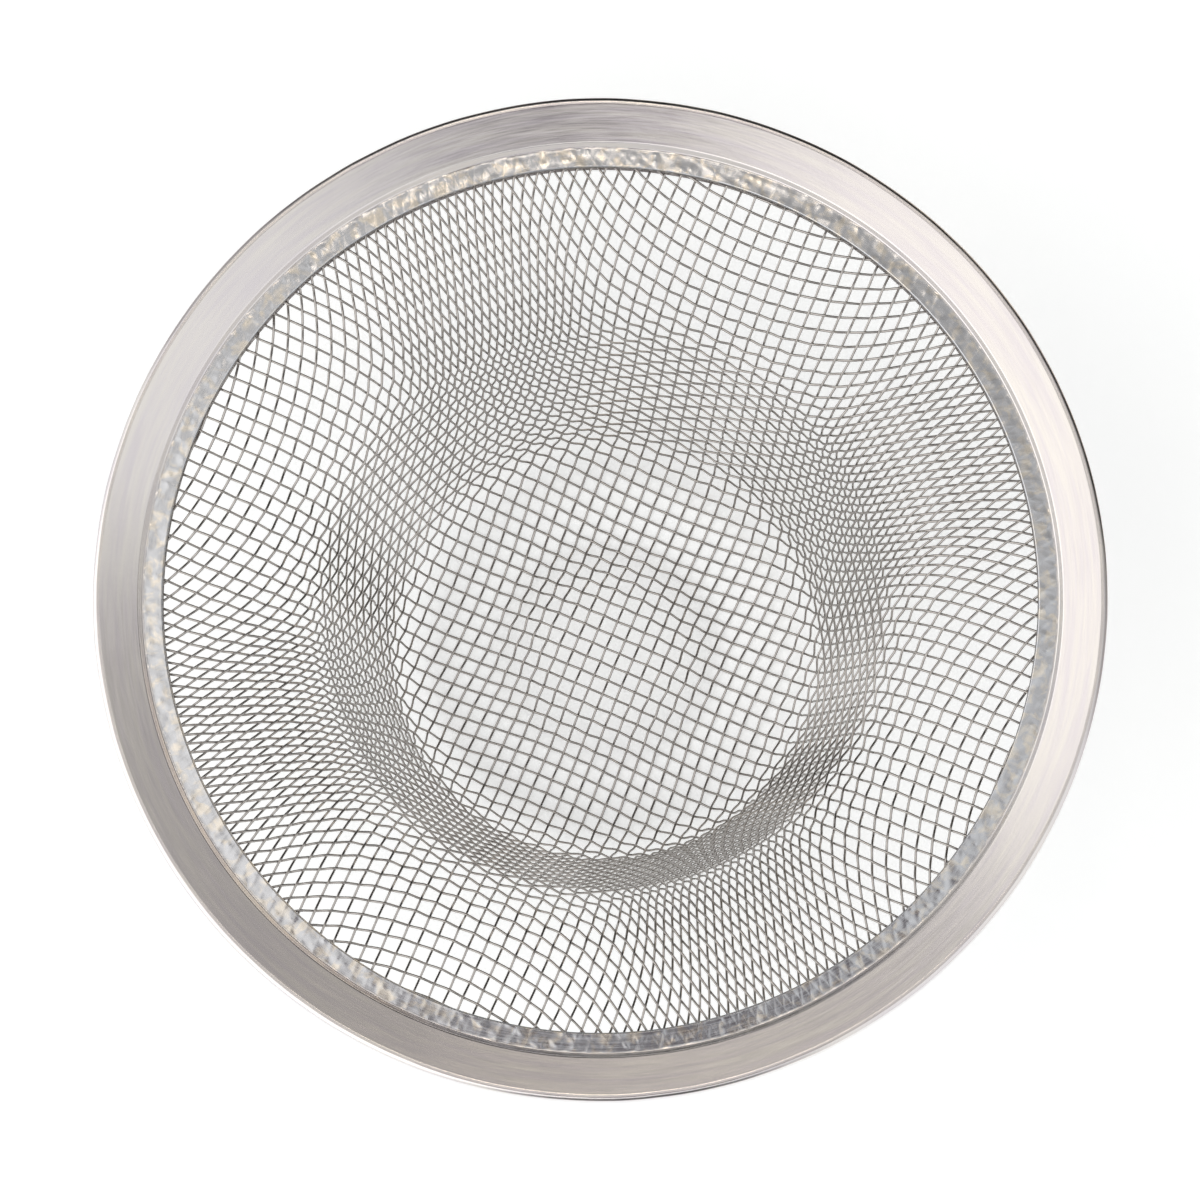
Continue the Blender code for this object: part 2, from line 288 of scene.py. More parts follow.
def cloth_forces(points):
    """What the wires, the squares they frame and their stiffness do to each crossing."""
    force = np.zeros_like(points)
    add_springs(force, points, (LOW, EVERY), (HIGH, EVERY), 1.0, 1.0, 0.0)
    add_springs(force, points, (EVERY, LOW), (EVERY, HIGH), 1.0, 1.0, 0.0)
    add_springs(force, points, (LOW, LOW), (HIGH, HIGH), SHEAR_STIFFNESS, 2 ** 0.5, LOCK_SHARE)
    add_springs(force, points, (HIGH, LOW), (LOW, HIGH), SHEAR_STIFFNESS, 2 ** 0.5, LOCK_SHARE)
    add_bending(force, points, (FIRST, EVERY), (CENTRE, EVERY), (LAST, EVERY))
    add_bending(force, points, (EVERY, FIRST), (EVERY, CENTRE), (EVERY, LAST))
    return force


# %% Run the press
def place(die, arc, angle):
    """Points on the surface, from lengths along the section and angles."""
    radius, height, _, _ = die.at(arc)
    return np.stack([radius * np.cos(angle), radius * np.sin(angle), height], axis=-1)


def press_cloth():
    """Crossings on the finished surface, with their lengths along the section and angles."""
    radius = np.interp(cells_out, np.arange(len(flat_radii)), flat_radii)
    angle = np.arctan2(weft_number, warp_number) + WEAVE_TURN
    speed = np.zeros(radius.shape + (2,))
    for stage in range(1, PRESS_STAGES + 1):
        die = Die(stage / PRESS_STAGES)
        arc = np.interp(radius, die.radius, die.arc)
        points = place(die, arc, angle)
        for _ in range(ROUNDS_PER_STAGE if stage < PRESS_STAGES else ROUNDS_AT_THE_END):
            force = cloth_forces(points)
            radius, _, slope_radius, slope_height = die.at(arc)
            east, north = np.cos(angle), np.sin(angle)
            outward = force[..., 0] * east + force[..., 1] * north
            around = force[..., 1] * east - force[..., 0] * north
            downhill = outward * slope_radius + force[..., 2] * slope_height
            speed = SPEED_KEPT * speed + FORCE_TO_SPEED * np.stack([downhill, around], axis=-1)
            size = np.sqrt((speed ** 2).sum(-1)) + TINY
            speed *= np.minimum(1, LONGEST_MOVE / size)[..., None]
            step_out, step_around = speed[..., 0], speed[..., 1]

            # On the flat middle of the floor the step is taken in x and y, so that it can
            # pass over the centre.
            x = points[..., 0] + step_out * east - step_around * north
            y = points[..., 1] + step_out * north + step_around * east
            on_middle = radius < HUMP_TOP_RADIUS
            swing = step_around / np.maximum(radius, HUMP_TOP_RADIUS / 2)
            arc = np.where(on_middle, np.hypot(x, y), arc + step_out)
            angle = np.where(on_middle, np.arctan2(y, x), angle + swing)
            arc[WIRES_EACH_SIDE, WIRES_EACH_SIDE] = 0.0
            points = place(die, arc, angle)
        radius = die.at(arc)[0]
    return die, points, arc, angle


die, crossings, crossing_arc, crossing_angle = press_cloth()
_, _, run, rise = die.at(crossing_arc)
crossing_normals = np.stack(
    [-rise * np.cos(crossing_angle), -rise * np.sin(crossing_angle), run], axis=-1
)
crossing_radius = np.hypot(crossings[..., 0], crossings[..., 1])
held_rows = np.flatnonzero((crossing_radius <= GRIP_RADIUS).any(axis=1))
print("wires in the ring, each way:", len(held_rows))

# %% [markdown]
# ## Helpers for every node tree
#
# Shaders and Geometry Nodes are both trees of nodes with sockets. One small function that
# adds a node, sets it and fills or links its inputs keeps each tree readable, line by line.
# A few shorter ones do what comes up again and again: a sum, a scaled vector, a value moved
# to another range, a mix of two colours and a cloudy noise.


# %% Node helpers
MIX_FIRST, MIX_SECOND, MIXED = 6, 7, 2


def add_node(tree, kind, inputs=None, **settings):
    """Adds a node. Inputs are given by name or number, as a value or as a socket to link."""
    node = tree.nodes.new(kind)
    for name, value in settings.items():
        setattr(node, name, value)
    for name, value in (inputs or {}).items():
        if isinstance(value, bpy.types.NodeSocket):
            tree.links.new(value, node.inputs[name])
        else:
            node.inputs[name].default_value = value
    return node


def maths(tree, operation, first, second=None):
    """A number made from one or two others."""
    inputs = {0: first} if second is None else {0: first, 1: second}
    return add_node(tree, "ShaderNodeMath", inputs, operation=operation).outputs[0]


def scaled(tree, vector, scale):
    node = add_node(tree, "ShaderNodeVectorMath", {0: vector, "Scale": scale}, operation="SCALE")
    return node.outputs["Vector"]


def added(tree, first, second):
    node = add_node(tree, "ShaderNodeVectorMath", {0: first, 1: second}, operation="ADD")
    return node.outputs["Vector"]


def mapped(tree, value, source, target=(0.0, 1.0), smooth=False):
    """The value moved from its source range to a target range, with or without soft ends."""
    return add_node(tree, "ShaderNodeMapRange", {
        "Value": value,
        "From Min": source[0],
        "From Max": source[1],
        "To Min": target[0],
        "To Max": target[1],
    }, interpolation_type="SMOOTHSTEP" if smooth else "LINEAR").outputs["Result"]


def tinted(tree, share, below, above):
    """A mix of two colours, by a share from 0 to 1."""
    mix = add_node(tree, "ShaderNodeMix", {0: share, MIX_FIRST: below, MIX_SECOND: above},
                   data_type="RGBA")
    return mix.outputs[MIXED]


def cloudy(tree, spot, size, detail, distortion=0.0):
    """Noise from 0 to 1, with patches of about the given size."""
    return add_node(tree, "ShaderNodeTexNoise", {
        "Vector": spot, "Scale": 1 / size, "Detail": detail, "Distortion": distortion,
    }).outputs["Fac"]


def named(tree, name, kind="FLOAT_VECTOR"):
    """An attribute of the mesh, read by its name in a Geometry Nodes tree."""
    node = add_node(tree, "GeometryNodeInputNamedAttribute", {"Name": name}, data_type=kind)
    return node.outputs["Attribute"]


def linear(code):
    """Linear red, green, blue and alpha of an sRGB hex colour."""
    shares = [int(code[k:k + 2], 16) / 255 for k in (1, 3, 5)]
    curve = [s / 12.92 if s <= 0.04045 else ((s + 0.055) / 1.055) ** 2.4 for s in shares]
    return (*curve, 1.0)


def new_geometry_tree(name, sockets):
    """A Geometry Nodes tree with a geometry in and out, and named inputs in between."""
    tree = bpy.data.node_groups.new(name, "GeometryNodeTree")
    tree.interface.new_socket(name="Geometry", in_out="INPUT", socket_type="NodeSocketGeometry")
    for label, kind in sockets:
        tree.interface.new_socket(name=label, in_out="INPUT", socket_type="NodeSocket" + kind)
    tree.interface.new_socket(name="Geometry", in_out="OUTPUT", socket_type="NodeSocketGeometry")
    return tree, add_node(tree, "NodeGroupInput"), add_node(tree, "NodeGroupOutput")


def finish_tree(tree, given, result, geometry):
    """Ends a tree: smooth shading, real geometry and the given material."""
    soft = add_node(tree, "GeometryNodeSetShadeSmooth", {"Geometry": geometry})
    real = add_node(tree, "GeometryNodeRealizeInstances", {"Geometry": soft.outputs["Geometry"]})
    metal = add_node(tree, "GeometryNodeSetMaterial", {
        "Geometry": real.outputs["Geometry"], "Material": given.outputs["Material"],
    })
    tree.links.new(metal.outputs["Geometry"], result.inputs["Geometry"])
    return tree


def use_tree(piece, tree, values):
    """Puts the tree on a piece and sets its inputs by their sockets' identifiers."""
    modifier = piece.modifiers.new(tree.name, "NODES")
    modifier.node_group = tree
    for item in tree.interface.items_tree:
        if item.in_out == "INPUT" and item.name in values:
            modifier[item.identifier] = values[item.name]


def settle(piece):
    """Replaces the piece's modifiers by the plain mesh that they make."""
    bpy.context.view_layer.update()
    view = bpy.context.evaluated_depsgraph_get()
    made = bpy.data.meshes.new_from_object(piece.evaluated_get(view))
    piece.modifiers.clear()
    old = piece.data
    piece.data = made
    made.name = piece.name
    bpy.data.meshes.remove(old)
    print(piece.name, "faces:", len(made.polygons))
    return piece


# %% [markdown]
# ## Weaving the wires
#
# In a plain weave each wire goes over one crossing and under the next. The wire doesn't kink
# there: it is crimped into a soft wave, and it touches the wire that it crosses. A Geometry
# Nodes tree suits this well. It takes bare lines through the crossings, moves each point to
# its side of the cloth, runs a smooth curve through them and sweeps a round section along it.

# %% Tree that weaves
def weave_tree():
    """Bare lines in, woven wires out."""
    tree, given, result = new_geometry_tree("weave_wires", [
        ("Wire Diameter", "Float"),
        ("Crimp", "Float"),
        ("Slack", "Float"),
        ("Points Per Cell", "Int"),
        ("Sides", "Int"),
        ("Seed", "Int"),
        ("Material", "Material"),
    ])
    height = maths(tree, "MULTIPLY", named(tree, "side", "FLOAT"), given.outputs["Crimp"])
    lift = scaled(tree, named(tree, "cloth_normal"), height)
    spread = add_node(tree, "FunctionNodeRandomValue", {
        "Min": (-1.0, -1.0, 0.0), "Max": (1.0, 1.0, 0.0), "Seed": given.outputs["Seed"],
    }, data_type="FLOAT_VECTOR")
    slip = scaled(tree, spread.outputs["Value"], given.outputs["Slack"])
    woven = add_node(tree, "GeometryNodeSetPosition", {
        "Geometry": given.outputs["Geometry"], "Offset": added(tree, lift, slip),
    })
    lines = add_node(tree, "GeometryNodeMeshToCurve", {"Mesh": woven.outputs["Geometry"]})
    smooth = add_node(tree, "GeometryNodeCurveSplineType", {"Curve": lines.outputs["Curve"]},
                      spline_type="CATMULL_ROM")
    fine = add_node(tree, "GeometryNodeSetSplineResolution", {
        "Geometry": smooth.outputs["Curve"], "Resolution": given.outputs["Points Per Cell"],
    })
    radius = maths(tree, "MULTIPLY", given.outputs["Wire Diameter"], 0.5)
    ring = add_node(tree, "GeometryNodeCurvePrimitiveCircle",
                    {"Resolution": given.outputs["Sides"], "Radius": radius})
    swept = add_node(tree, "GeometryNodeCurveToMesh", {
        "Curve": fine.outputs["Geometry"],
        "Profile Curve": ring.outputs["Curve"],
        "Fill Caps": True,
    })
    return finish_tree(tree, given, result, swept.outputs["Mesh"])


# %% [markdown]
# ## Finishes
#
# Both pieces are austenitic stainless steel. The wire is drawn through dies, which leaves it
# smooth and slightly dull, and a little darker in some places than in others. The ring is
# pressed from cold-rolled sheet with a satin surface. Its finish comes later, because it
# follows the marks that the press leaves.

# %% Drawn stainless wire
WIRE_TONES = ("#A6A29F", "#BAB6B2")
WIRE_ROUGHNESS = (0.08, 0.12)
WIRE_PATCH_SIZE = 1.6 * MM


def new_material(name):
    """A material, its tree of nodes and the one shader in it."""
    material = bpy.data.materials.new(name)
    material.use_nodes = True
    tree = material.node_tree
    return material, tree, tree.nodes["Principled BSDF"]


def wire_finish():
    """Drawn stainless wire: a tight grey sheen, darker and brighter in soft patches."""
    material, tree, shader = new_material("drawn_stainless_wire")
    shader.inputs["Metallic"].default_value = 1.0
    spot = add_node(tree, "ShaderNodeTexCoord").outputs["Object"]
    patches = cloudy(tree, spot, WIRE_PATCH_SIZE, 2.0)
    tone = tinted(tree, patches, *map(linear, WIRE_TONES))
    tree.links.new(tone, shader.inputs["Base Color"])
    dull = mapped(tree, patches, (0.0, 1.0), WIRE_ROUGHNESS)
    tree.links.new(dull, shader.inputs["Roughness"])
    return material


wire_metal = wire_finish()

# %% [markdown]
# ## Every wire of the cloth
#
# The bare lines run through the crossings of the pressed net and stop inside the fold of the
# ring. Warp and weft lie on opposite sides at each crossing. The cloth has so many wires
# that each direction is made as two pieces, which keeps every mesh small enough to handle.

# %% Bare lines through the crossings
def cut_at_grip(points, normals, sides):
    """One wire's crossings inside the fold, with both ends cut at the grip's radius."""
    radii = np.hypot(points[:, 0], points[:, 1])
    held = np.flatnonzero(radii <= GRIP_RADIUS)
    rows = np.concatenate([points, normals, sides[:, None]], axis=1)[held[0] - 1:held[-1] + 2]
    ends = radii[held[0] - 1:held[-1] + 2]
    for end, inner in ((0, 1), (-1, -2)):
        share = (GRIP_RADIUS - ends[inner]) / (ends[end] - ends[inner])
        rows[end] = rows[inner] + (rows[end] - rows[inner]) * share
    return rows


def bare_lines(name, wires):
    """A mesh of edges only, one chain for each wire, that carries normals and sides."""
    edges, start = [], 0
    for rows in wires:
        edges += [(start + k, start + k + 1) for k in range(len(rows) - 1)]
        start += len(rows)
    table = np.concatenate(wires)
    mesh = bpy.data.meshes.new(name)
    mesh.from_pydata(table[:, :3].tolist(), edges, [])
    normal = mesh.attributes.new("cloth_normal", "FLOAT_VECTOR", "POINT")
    normal.data.foreach_set("vector", table[:, 3:6].astype(np.float32).ravel())
    side = mesh.attributes.new("side", "FLOAT", "POINT")
    side.data.foreach_set("value", table[:, 6].astype(np.float32))
    piece = bpy.data.objects.new(name, mesh)
    bpy.context.scene.collection.objects.link(piece)
    return piece


over_first = (-1.0) ** (warp_number + weft_number)
warp_wires = [cut_at_grip(crossings[k], crossing_normals[k], over_first[k]) for k in held_rows]
weft_wires = [
    cut_at_grip(crossings[:, k], crossing_normals[:, k], -over_first[:, k]) for k in held_rows
]
print("warp and weft wires:", len(warp_wires), len(weft_wires))

# %% Weave both directions
WIRE_SLACK = 0.012 * MM
POINTS_PER_CELL = 4
WIRE_SIDES = 6

weaver = weave_tree()
half = len(held_rows) // 2
cloth_parts = {
    "warp_wires_first_half": warp_wires[:half],
    "warp_wires_second_half": warp_wires[half:],
    "weft_wires_first_half": weft_wires[:half],
    "weft_wires_second_half": weft_wires[half:],
}
cloth_pieces = {}
for seed, (name, wires) in enumerate(cloth_parts.items()):
    piece = bare_lines(name, wires)
    use_tree(piece, weaver, {
        "Wire Diameter": WIRE_DIAMETER,
        "Crimp": CRIMP,
        "Slack": WIRE_SLACK,
        "Points Per Cell": POINTS_PER_CELL,
        "Sides": WIRE_SIDES,
        "Seed": seed,
        "Material": wire_metal,
    })
    cloth_pieces[name] = settle(piece)

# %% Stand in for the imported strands
strands = {way: sorted(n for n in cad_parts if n.startswith(way)) for way in ("warp", "weft")}
for name, piece in cloth_pieces.items():
    nodes = strands[name[:4]]
    middle = len(nodes) // 2
    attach(piece, "root")
    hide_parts(*(nodes[:middle] if "first" in name else nodes[middle:]))

# %% [markdown]
# ## The folded ring
#
# The ring is one strip of sheet, folded flat over the cloth's edge. Its upper leaf has a
# wide band at the outside, a step down, and a narrow land that is pressed onto the wires so
# hard that they show through. The land rises a little to the opening and the band rises to
# its crest, because the press tool is slightly dished, and those few degrees decide what
# each part of the ring mirrors. A section that is turned about the axis gives the fold.

# %% Section of the ring
LAND_WIDTH = 1.68 * MM
LAND_LEAN = radians(4.5)
BAND_LEAN = radians(10.0)
STEP_RUN = 0.28 * MM
CREST_INSET = 0.21 * MM
LIP_LEAN = radians(7.0)
EDGE_RUN = 0.09 * MM
EDGE_LEAN = radians(25.0)
CURL_WIDTH = 0.80 * MM
CURL_RUN = 0.50 * MM
# Radii on the upper face: foot and top of the step, crest, start of the edge, lip, lower fold
# and both ends of the curl that holds the cloth from below.
OUTER_RADII = [r * MM for r in (0.10, 0.10, 0.60, 0.10, 0.10, 0.55, 0.20, 0.20)]
OUTER_ARC_STEP = radians(24)
LAND_STEP = 0.13 * MM
BAND_STEP = 0.60 * MM
UNDER_STEP = 1.20 * MM
HOLD = 0.04 * MM
EDGE_STEPS = 3

sheet_inner = OPENING_RADIUS + RIM_SHEET / 2
land_end = OPENING_RADIUS + LAND_WIDTH
land_low = HEM_Z + CLOTH_HALF + RIM_SHEET / 2
land_high = land_low + (land_end - sheet_inner) * tan(LAND_LEAN)
lip_middle = RIM_RADIUS - RIM_SHEET / 2
crest = lip_middle - CREST_INSET
band_high = rim_high.z - RIM_SHEET / 2
band_low = band_high - (crest - land_end - STEP_RUN) * tan(BAND_LEAN)
edge_start = lip_middle - EDGE_RUN
edge_high = band_high - (edge_start - crest) * tan(LIP_LEAN)
edge_low = edge_high - EDGE_RUN * tan(EDGE_LEAN)
curl_height = HEM_Z - CLOTH_HALF - RIM_SHEET / 2
curl_end = OPENING_RADIUS + CURL_WIDTH
fold = np.array([
    (sheet_inner, land_high),
    (land_end, land_low),
    (land_end + STEP_RUN, band_low),
    (crest, band_high),
    (edge_start, edge_high),
    (lip_middle, edge_low),
    (lip_middle, LOWER_LEAF),
    (curl_end + CURL_RUN, LOWER_LEAF),
    (curl_end, curl_height),
    (sheet_inner, curl_height),
])


def offset_path(path, distance):
    """The path moved to its left by the distance, with mitred corners."""
    runs = np.diff(path, axis=0)
    normals = np.stack([-runs[:, 1], runs[:, 0]], axis=1) / np.hypot(*runs.T)[:, None]
    before = np.concatenate([normals[:1], normals])
    after = np.concatenate([normals, normals[-1:]])
    mitre = before + after
    mitre /= np.hypot(*mitre.T)[:, None]
    return path + mitre * (distance / (mitre * before).sum(axis=1))[:, None]


def divide(path, steps):
    """The path with extra points: even steps, and one point close to each end of a long run,
    so that smooth shading keeps the run flat up to its corners."""
    points = [path[0]]
    for here, there in zip(path, path[1:]):
        length = hypot(*(there - here))
        parts = max(1, round(length / steps(here, there)))
        shares = [k / parts for k in range(1, parts)] + [1.0]
        if length / parts > 4 * HOLD:
            shares = sorted(shares + [HOLD / length, 1 - HOLD / length])
        points += [here + (there - here) * share for share in shares]
    return np.array(points)


def round_end(centre, start):
    """Half circle of points that closes the sheet's cut edge, from start to its opposite."""
    spoke = start - centre
    turned = []
    for k in range(1, EDGE_STEPS):
        angle = pi * k / EDGE_STEPS
        turned.append(centre + np.array([
            spoke[0] * cos(angle) - spoke[1] * sin(angle),
            spoke[0] * sin(angle) + spoke[1] * cos(angle),
        ]))
    return np.array(turned)


def top_steps(here, there):
    """Fine steps on the land, where the press marks are, and wider ones elsewhere."""
    if here[1] < HEM_Z:
        return UNDER_STEP
    return LAND_STEP if max(here[0], there[0]) < land_end + STEP_RUN / 4 else BAND_STEP


top_face = divide(
    rounded_path(offset_path(fold, RIM_SHEET / 2), OUTER_RADII, OUTER_ARC_STEP), top_steps
)
under_face = offset_path(fold, -RIM_SHEET / 2)
ring_section = np.concatenate([
    top_face,
    round_end(fold[-1], top_face[-1]),
    under_face[::-1],
    round_end(fold[0], under_face[0]),
])
print("points in the ring's section:", len(top_face), "on top,", len(ring_section), "in all")
print("height of the ring's top, against the frame's, in mm:",
      round((ring_section[:, 1].max() - rim_high.z) / MM, 3))

# %% Turn the section
RING_STEPS = 1280

section_mesh = bpy.data.meshes.new("ring")
section_mesh.from_pydata(
    [(radius, 0.0, height) for radius, height in ring_section],
    [(k, (k + 1) % len(ring_section)) for k in range(len(ring_section))],
    [],
)
ring = bpy.data.objects.new("folded_ring", section_mesh)
bpy.context.scene.collection.objects.link(ring)
turning = ring.modifiers.new("turn", "SCREW")
turning.steps = RING_STEPS
turning.render_steps = RING_STEPS
turning.use_merge_vertices = True
turning.use_smooth_shade = True
settle(ring)

# %% Check which way the ring's faces look
ring_bm = bmesh.new()
ring_bm.from_mesh(ring.data)
bmesh.ops.recalc_face_normals(ring_bm, faces=ring_bm.faces)
if ring_bm.calc_volume(signed=True) < 0:
    bmesh.ops.reverse_faces(ring_bm, faces=ring_bm.faces)
print("ring volume in mm3:", round(ring_bm.calc_volume(signed=True) / MM ** 3, 1))
ring_bm.to_mesh(ring.data)
ring_bm.free()

# %% [markdown]
# ## Marks of the press
#
# A turned ring is too perfect. On the real one the wires show through the land as a net of
# fine ridges, and the rolled lip wanders a little where the strip was drawn round.
# Sculpting would be slow to repeat, so a tree does it. It asks a flat copy of the pressed
# net which wires lie under each point of the land, and lifts the sheet along them. The
# answer stays on the ring as an attribute, so that the finish can draw the same ridges
# finer than the mesh. The wandering is a noise of the direction alone.

# %% Flat copy of the net under the land
def flat_net(name, from_radius, to_radius):
    """The net seen from above, as faces at height zero that know their wires' numbers."""
    kept = (crossing_radius > from_radius) & (crossing_radius < to_radius)
    number = np.cumsum(kept.ravel()).reshape(kept.shape) - 1
    whole = kept[:-1, :-1] & kept[1:, :-1] & kept[1:, 1:] & kept[:-1, 1:]
    faces = [
        (number[i, j], number[i + 1, j], number[i + 1, j + 1], number[i, j + 1])
        for i, j in zip(*np.nonzero(whole))
    ]
    mesh = bpy.data.meshes.new(name)
    mesh.from_pydata([(x, y, 0.0) for x, y, _ in crossings[kept].tolist()], [], faces)
    place = mesh.attributes.new("wire_numbers", "FLOAT_VECTOR", "POINT")
    numbers = np.stack([warp_number[kept], weft_number[kept], 0 * warp_number[kept]], axis=1)
    place.data.foreach_set("vector", numbers.astype(np.float32).ravel())
    helper = bpy.data.objects.new(name, mesh)
    bpy.context.scene.collection.objects.link(helper)
    print("cells of the net under the land:", len(faces))
    return helper


# %% Tree that marks the ring
RIDGE_HEIGHT = 0.003 * MM
RIDGE_WIDTH = 0.18 * MM
LAND_FADE = 0.3 * MM
WANDER = 0.10 * MM
WANDER_LENGTH = 6.0 * MM


def wire_ridge(tree, along, width_in_cells):
    """A soft ridge of height 1 along each whole number: a wire that shows through."""
    beside = maths(tree, "PINGPONG", along, 0.5)
    share = maths(tree, "DIVIDE", beside, width_in_cells)
    square = maths(tree, "MULTIPLY", share, share)
    return maths(tree, "EXPONENT", maths(tree, "MULTIPLY", square, -1.0))


def net_ridges(tree, numbers, width_in_cells):
    """The ridges of both directions, the higher one where they cross."""
    parts = add_node(tree, "ShaderNodeSeparateXYZ", {"Vector": numbers})
    warp = wire_ridge(tree, parts.outputs["X"], width_in_cells)
    weft = wire_ridge(tree, parts.outputs["Y"], width_in_cells)
    return maths(tree, "MAXIMUM", warp, weft)


def about_the_axis(tree, position):
    """A position's height, its plan, and in the plan its distance and direction from the axis."""
    parts = add_node(tree, "ShaderNodeSeparateXYZ", {"Vector": position})
    plan = add_node(tree, "ShaderNodeCombineXYZ", {
        "X": parts.outputs["X"], "Y": parts.outputs["Y"],
    }).outputs["Vector"]
    radius = add_node(tree, "ShaderNodeVectorMath", {0: plan}, operation="LENGTH")
    outward = add_node(tree, "ShaderNodeVectorMath", {0: plan}, operation="NORMALIZE")
    return parts.outputs["Z"], plan, radius.outputs["Value"], outward.outputs["Vector"]


def marks_tree():
    """A plain turned ring in, the same ring with the marks of the press out."""
    tree, given, result = new_geometry_tree("press_marks", [
        ("Net", "Object"),
        ("Ridge Height", "Float"),
        ("Ridge Width In Cells", "Float"),
        ("Land Inner Radius", "Float"),
        ("Land Outer Radius", "Float"),
        ("Land Height", "Float"),
        ("Wander", "Float"),
        ("Wander Scale", "Float"),
        ("Lip Radius", "Float"),
        ("Material", "Material"),
    ])
    asked = given.outputs
    position = add_node(tree, "GeometryNodeInputPosition").outputs["Position"]
    height, plan, radius, outward = about_the_axis(tree, position)

    net = add_node(tree, "GeometryNodeObjectInfo", {"Object": asked["Net"]})
    numbers = add_node(tree, "GeometryNodeSampleNearestSurface", {
        "Mesh": net.outputs["Geometry"],
        "Value": named(tree, "wire_numbers"),
        "Sample Position": plan,
    }, data_type="FLOAT_VECTOR").outputs["Value"]
    inside = mapped(tree, radius, (asked["Land Inner Radius"], asked["Land Outer Radius"]),
                    (1.0, 0.0), smooth=True)
    upper = maths(tree, "GREATER_THAN", height, asked["Land Height"])
    on_land = maths(tree, "MULTIPLY", inside, upper)
    ridge = net_ridges(tree, numbers, asked["Ridge Width In Cells"])
    raised = maths(tree, "MULTIPLY", ridge, asked["Ridge Height"])
    lift = maths(tree, "MULTIPLY", raised, on_land)
    upward = add_node(tree, "ShaderNodeCombineXYZ", {"Z": lift})

    round_about = scaled(tree, outward, asked["Wander Scale"])
    wander = maths(tree, "MULTIPLY", cloudy(tree, round_about, 1.0, 2.0), asked["Wander"])
    near_lip = mapped(tree, radius, (asked["Land Outer Radius"], asked["Lip Radius"]),
                      (0.0, -1.0), smooth=True)
    pulled = scaled(tree, outward, maths(tree, "MULTIPLY", wander, near_lip))

    marked = add_node(tree, "GeometryNodeSetPosition", {
        "Geometry": asked["Geometry"], "Offset": added(tree, upward.outputs["Vector"], pulled),
    })
    known = add_node(tree, "GeometryNodeStoreNamedAttribute", {
        "Geometry": marked.outputs["Geometry"], "Name": "wire_numbers", "Value": numbers,
    }, data_type="FLOAT_VECTOR")
    masked = add_node(tree, "GeometryNodeStoreNamedAttribute", {
        "Geometry": known.outputs["Geometry"], "Name": "land_share", "Value": on_land,
    }, data_type="FLOAT")
    return finish_tree(tree, given, result, masked.outputs["Geometry"])


# %% [markdown]
# ## Satin cold-rolled sheet
#
# The ring is cold-rolled stainless strip with a satin surface. Forming drags fine marks round
# it, so what it mirrors is spread a little across them. An image texture could hold such
# marks, but a noise in ring coordinates follows the real direction: one axis is the distance
# from the ring's axis and the other goes round the ring. Wider streaks of a warmer and a
# cooler grey run the same way on the band. The land was squeezed onto the wires, and has small
# dents and cream and blue-grey patches instead, whose cream is partly painted glints of the
# warm lamp. Everything is drawn a little coarser than it is on the real ring, because anything
# finer than the picture's points turns to grain.

# %% Finish of the ring
MARK_WIDTH, MARK_LENGTH = 0.12 * MM, 3.0 * MM
MARK_DEPTH = 0.0011 * MM
MARK_SPREAD = (0.3, 0.7)
STREAK_WIDTH, STREAK_LENGTH = 0.45 * MM, 7.0 * MM
STREAK_SPREAD = (0.35, 0.65)
GRAIN_SIZE = 0.30 * MM
# Size, spread and bend of the land's cream and blue-grey patches; the cream partly paints the warm
# lamp's glints.
BLOTCH_AND_GLINT_SIZE = 0.9 * MM
BLOTCH_AND_GLINT_SPREAD = (0.48, 0.64)
BLOTCH_AND_GLINT_BEND = 0.6
CELL_SIZE = 0.75 * MM
CELL_DEPTH = 0.036 * MM
BAND_TONES = ("#E4DFE1", "#ECE8E4")
LAND_TONES_AND_GLINTS = ("#CFD1D5", "#E6E0D6")
SHEET_SHADE = (0.94, 1.0)
SHEET_ROUGHNESS = (0.16, 0.24)
SHEET_STRETCH = 0.3
QUARTER_TURN = 0.25


def along_the_ring(tree, position, width, length):
    """Noise in streaks of the given width across the ring and length along it."""
    _, _, radius, outward = about_the_axis(tree, position)
    return add_node(tree, "ShaderNodeTexNoise", {
        "Vector": scaled(tree, outward, RIM_RADIUS / length),
        "W": maths(tree, "MULTIPLY", radius, 1 / width),
        "Scale": 1.0,
        "Detail": 3.0,
    }, noise_dimensions="4D").outputs["Fac"]


